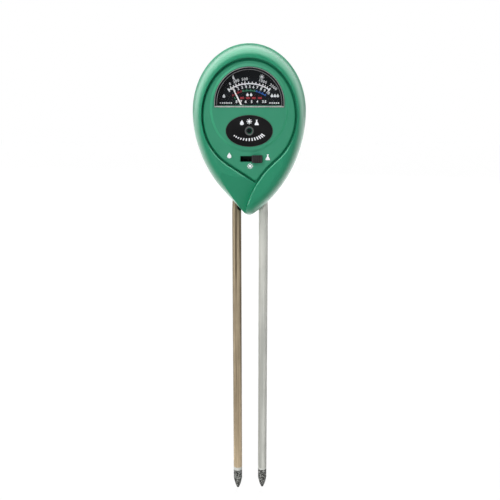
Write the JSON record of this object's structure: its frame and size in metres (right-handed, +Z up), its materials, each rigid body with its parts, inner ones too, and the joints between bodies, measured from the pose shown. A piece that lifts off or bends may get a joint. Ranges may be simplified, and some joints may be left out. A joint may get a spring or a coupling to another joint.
{
  "type": "soil tester",
  "caption": "Hand-held soil tester: teardrop green head with a needle meter, light sensor and slide switch, on two pointed metal probes that are pushed into the soil.",
  "frame": {"origin": "on the mid-line of the head, on the plane where the two shells meet, at the height of the lower probe point", "axes": "+Z up along the probes, +X right seen from the front, the dial faces -Y"},
  "size_m": [0.06, 0.034, 0.26],
  "materials": {
    "shell_green": "glossy moulded plastic",
    "panel_green": "satin moulded plastic",
    "clear_window": "clear moulded acrylic",
    "label_black": "gloss black printed plate",
    "bezel_grey": "satin grey plastic",
    "cell_dark": "dark glassy cell",
    "dial_black": "printed matt black card",
    "movement_plastic": "black moulded plastic",
    "soft_iron": "nickel plated",
    "magnet": "ground alloy magnet",
    "brass_parts": "turned brass",
    "spring_bronze": "rolled bronze strip",
    "screw_steel": "zinc plated",
    "terminal_tin": "tinned",
    "needle_white": "white lacquer",
    "copper_wire": "enamelled copper",
    "former_aluminium": "thin sheet",
    "knob_grey": "dark grey moulded plastic",
    "board_brown": "paper phenolic board",
    "resistor_body": "painted body with tinned wires",
    "lead_cover": "soft plastic cover",
    "probe_brass": "drawn tube with a dull bronze look",
    "probe_aluminium": "drawn tube",
    "tip_metal": "dull grey metal",
    "insulator_white": "white plastic"
  },
  "bodies": {
    "housing": {"front_shell": "shell_green", "rear_shell": "shell_green", "face_panel": "panel_green", "meter_window": "clear_window", "sensor_window": "clear_window", "label_plate": "label_black", "sensor_bezel": "bezel_grey", "light_cell": "cell_dark", "dial_plate": "dial_black", "meter_frame": "movement_plastic", "probe_collars": "movement_plastic", "switch_base": "movement_plastic", "yoke_ring": "soft_iron", "switch_case": "soft_iron", "core_magnet": "magnet", "front_bridge": "brass_parts", "front_jewel_screw": "brass_parts", "rear_jewel_screw": "brass_parts", "front_hairspring": "spring_bronze", "rear_hairspring": "spring_bronze", "housing_screws": "screw_steel", "bridge_screws": "screw_steel", "switch_screws": "screw_steel", "switch_terminals": "terminal_tin", "circuit_board": "board_brown", "calibration_resistors": "resistor_body", "probe_leads": "lead_cover", "meter_leads": "lead_cover", "cell_leads": "lead_cover", "brass_tube": "probe_brass", "aluminium_tube": "probe_aluminium", "left_tip": "tip_metal", "right_tip": "tip_metal", "left_insulator": "insulator_white", "right_insulator": "insulator_white"},
    "needle_movement": {"needle": "needle_white", "moving_coil": "copper_wire", "coil_former": "former_aluminium", "pivot_staffs": "screw_steel", "balance_weights": "brass_parts"},
    "switch_slide": {"switch_slider": "knob_grey", "switch_knob": "knob_grey", "switch_contact": "brass_parts"}
  },
  "joints": [
    {"name": "needle_swing", "type": "hinge", "parent": "housing", "child": "needle_movement", "pos_m": [0, 0, 0.2205], "axis": [0, 1, 0], "range_deg": [-10, 66], "stiffness_Nm_per_rad": 0.00001, "deforming": ["front_hairspring", "rear_hairspring"]},
    {"name": "switch_travel", "type": "slide", "parent": "housing", "child": "switch_slide", "axis": [1, 0, 0], "range_m": [-0.0058, 0]}
  ]
}
